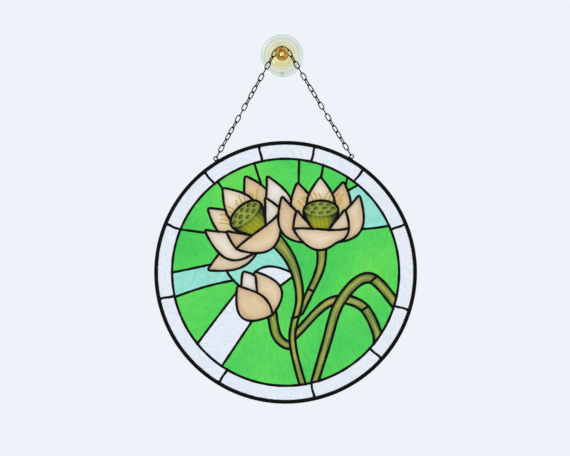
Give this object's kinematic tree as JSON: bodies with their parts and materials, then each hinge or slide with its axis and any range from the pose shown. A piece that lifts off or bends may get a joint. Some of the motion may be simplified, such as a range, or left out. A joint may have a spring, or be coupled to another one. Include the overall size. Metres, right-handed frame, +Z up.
{
  "type": "stained glass window",
  "caption": "Round stained glass window panel with lotus flowers in a clear border, hung by a fine chain from a clear suction cup.",
  "frame": {"origin": "centre of the suction cup's flat back, which lies on the window pane", "axes": "+Z up; the picture's front faces -Y and the suction cup's flat back faces +Y; +X to the viewer's right"},
  "size_m": [0.3, 0.0243, 0.4233],
  "materials": {
    "clear_textured_glass": "clear, faintly textured",
    "green_cathedral_glass": "bright green, slightly streaky",
    "aqua_glass": "pale aqua",
    "cream_opal_glass": "cream and peach opal, with painted ochre marks",
    "olive_painted_glass": "olive with painted dark seed marks",
    "olive_streaky_glass": "olive green, graded from light to dark",
    "black_patina_lead": "black patina, satin",
    "dark_steel_chain": "dark brown-black, satin",
    "brass": "polished",
    "clear_soft_plastic": "clear and glossy, slightly yellowish"
  },
  "bodies": {
    "root": {"aqua_pane_01": "aqua_glass", "aqua_pane_02": "aqua_glass", "aqua_pane_03": "aqua_glass", "border_pane_01": "clear_textured_glass", "border_pane_02": "clear_textured_glass", "border_pane_03": "clear_textured_glass", "border_pane_04": "clear_textured_glass", "border_pane_05": "clear_textured_glass", "border_pane_06": "clear_textured_glass", "border_pane_07": "clear_textured_glass", "border_pane_08": "clear_textured_glass", "border_pane_09": "clear_textured_glass", "border_pane_10": "clear_textured_glass", "border_pane_11": "clear_textured_glass", "brass_knob": "brass", "bud_petal_01": "cream_opal_glass", "bud_petal_02": "cream_opal_glass", "bud_petal_03": "cream_opal_glass", "clear_pane_01": "clear_textured_glass", "clear_pane_02": "clear_textured_glass", "green_pane_01": "green_cathedral_glass", "green_pane_02": "green_cathedral_glass", "green_pane_03": "green_cathedral_glass", "green_pane_04": "green_cathedral_glass", "green_pane_05": "green_cathedral_glass", "green_pane_06": "green_cathedral_glass", "green_pane_07": "green_cathedral_glass", "green_pane_08": "green_cathedral_glass", "green_pane_09": "green_cathedral_glass", "green_pane_10": "green_cathedral_glass", "green_pane_11": "green_cathedral_glass", "hanging_chain": "dark_steel_chain", "lead_net": "black_patina_lead", "leaf_ribbon_01": "olive_streaky_glass", "leaf_ribbon_02": "olive_streaky_glass", "leaf_ribbon_03": "olive_streaky_glass", "left_blossom_petal_01": "cream_opal_glass", "left_blossom_petal_02": "cream_opal_glass", "left_blossom_petal_03": "cream_opal_glass", "left_blossom_petal_04": "cream_opal_glass", "left_blossom_petal_05": "cream_opal_glass", "left_blossom_petal_06": "cream_opal_glass", "left_blossom_petal_07": "cream_opal_glass", "left_blossom_petal_08": "cream_opal_glass", "left_blossom_petal_09": "cream_opal_glass", "left_blossom_pod": "olive_painted_glass", "right_blossom_petal_01": "cream_opal_glass", "right_blossom_petal_02": "cream_opal_glass", "right_blossom_petal_03": "cream_opal_glass", "right_blossom_petal_04": "cream_opal_glass", "right_blossom_petal_05": "cream_opal_glass", "right_blossom_petal_06": "cream_opal_glass", "right_blossom_petal_07": "cream_opal_glass", "right_blossom_petal_08": "cream_opal_glass", "right_blossom_pod": "olive_painted_glass", "rim_with_loops": "black_patina_lead", "stem_01": "olive_streaky_glass", "stem_02": "olive_streaky_glass", "stem_03": "olive_streaky_glass", "suction_cup": "clear_soft_plastic"}
  },
  "joints": []
}
